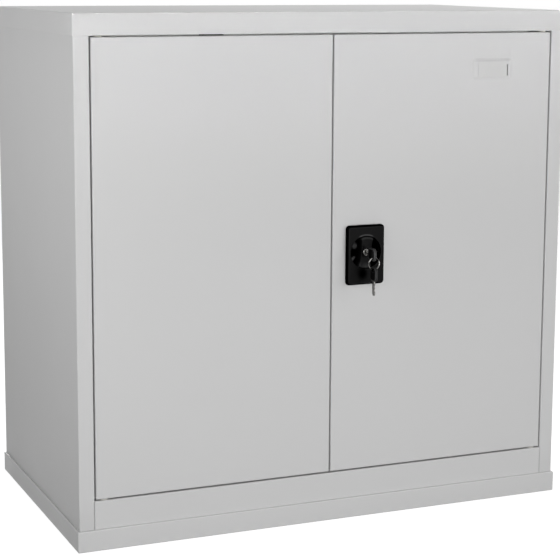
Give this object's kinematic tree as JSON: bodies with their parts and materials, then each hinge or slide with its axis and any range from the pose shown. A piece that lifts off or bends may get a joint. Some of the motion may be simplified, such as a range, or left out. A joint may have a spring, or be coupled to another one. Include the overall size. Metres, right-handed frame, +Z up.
{
  "type": "metal storage cabinet",
  "caption": "Low free-standing steel cabinet with two hinged doors, adjustable shelves, a folded base plinth and a knob lock that drives bolts up, down and sideways.",
  "frame": {"origin": "middle of the whole object's footprint, keys included, on the floor", "axes": "+X to the right seen from the front, +Y from the doors to the back, +Z up"},
  "size_m": [0.906, 0.5534, 0.88],
  "materials": {
    "powder_coat": "light grey powder coat, satin, fine texture",
    "zinc_plate": "bright zinc plated steel",
    "nickel_plate": "nickel plated, polished",
    "black_plastic": "moulded black, satin",
    "nylon": "natural white, dull",
    "rubber": "dull grey",
    "card": "blank card, dull"
  },
  "bodies": {
    "carcass": {"base_plinth": "powder_coat", "bottom_panel": "powder_coat", "top_cap": "powder_coat", "top_cap_rear_skirt": "powder_coat", "top_rail": "powder_coat", "back_panel": "powder_coat", "left_side_panel": "powder_coat", "right_side_panel": "powder_coat", "front_left_upright": "zinc_plate", "rear_left_upright": "zinc_plate", "front_right_upright": "zinc_plate", "rear_right_upright": "zinc_plate", "lower_shelf": "powder_coat", "upper_shelf": "powder_coat", "lower_shelf_clip_front_left": "zinc_plate", "upper_shelf_clip_front_left": "zinc_plate", "lower_shelf_clip_rear_left": "zinc_plate", "upper_shelf_clip_rear_left": "zinc_plate", "lower_shelf_clip_front_right": "zinc_plate", "upper_shelf_clip_front_right": "zinc_plate", "lower_shelf_clip_rear_right": "zinc_plate", "upper_shelf_clip_rear_right": "zinc_plate", "lower_left_hinge_pin": "zinc_plate", "upper_left_hinge_pin": "zinc_plate", "lower_right_hinge_pin": "zinc_plate", "upper_right_hinge_pin": "zinc_plate", "inner_left_door_buffer": "rubber", "outer_left_door_buffer": "rubber", "inner_right_door_buffer": "rubber", "outer_right_door_buffer": "rubber", "left_door_magnet": "black_plastic"},
    "left_leaf": {"left_door": "powder_coat", "left_door_stiffener": "powder_coat", "lower_left_hinge_bush": "nylon", "upper_left_hinge_bush": "nylon"},
    "right_leaf": {"right_door": "powder_coat", "right_door_stiffener": "powder_coat", "lower_right_hinge_bush": "nylon", "upper_right_hinge_bush": "nylon", "lock_plate": "black_plastic", "lock_housing": "black_plastic", "upper_lock_screw": "zinc_plate", "lower_lock_screw": "zinc_plate", "upper_bolt_guide": "nylon", "lower_bolt_guide": "nylon", "label_card": "card"},
    "knob": {"lock_knob": "black_plastic", "scroll_disc": "zinc_plate", "latch_tongue": "zinc_plate", "tongue_screw": "zinc_plate"},
    "key": {"key_cylinder": "nickel_plate", "key_blade": "nickel_plate", "key_bow": "black_plastic"},
    "ring": {"key_ring": "nickel_plate"},
    "spare_key": {"spare_key_blade": "nickel_plate", "spare_key_bow": "black_plastic"},
    "upper_rod": {"upper_bolt": "zinc_plate"},
    "lower_rod": {"lower_bolt": "zinc_plate"}
  },
  "joints": [
    {"name": "left_door_hinge", "type": "hinge", "parent": "carcass", "child": "left_leaf", "pos_m": [-0.407, -0.21825, 0], "axis": [0, 0, -1], "range_deg": [0, 110]},
    {"name": "right_door_hinge", "type": "hinge", "parent": "carcass", "child": "right_leaf", "pos_m": [0.407, -0.21825, 0], "axis": [0, 0, 1], "range_deg": [0, 110]},
    {"name": "knob_turn", "type": "hinge", "parent": "right_leaf", "child": "knob", "pos_m": [0.061, -0.22625, 0.471], "axis": [0, 1, 0], "range_deg": [0, 90]},
    {"name": "key_turn", "type": "hinge", "parent": "knob", "child": "key", "pos_m": [0.061, -0.22625, 0.471], "axis": [0, 1, 0], "range_deg": [0, 90]},
    {"name": "key_ring_swing", "type": "hinge", "parent": "key", "child": "ring", "pos_m": [0.061, -0.26575, 0.4661], "axis": [1, 0, 0], "range_deg": [-80, 8]},
    {"name": "spare_key_swing", "type": "hinge", "parent": "ring", "child": "spare_key", "pos_m": [0.061, -0.26575, 0.4461], "axis": [1, 0, 0], "range_deg": [-60, 15]},
    {"name": "upper_bolt_slide", "type": "slide", "parent": "right_leaf", "child": "upper_rod", "axis": [0, 0, 1], "range_m": [0, 0.014]},
    {"name": "lower_bolt_slide", "type": "slide", "parent": "right_leaf", "child": "lower_rod", "axis": [0, 0, -1], "range_m": [0, 0.014]}
  ],
  "couplings": [
    {"joint": "upper_bolt_slide", "follows": "knob_turn", "m_per_rad": 0.0089126},
    {"joint": "lower_bolt_slide", "follows": "knob_turn", "m_per_rad": 0.0089126}
  ]
}
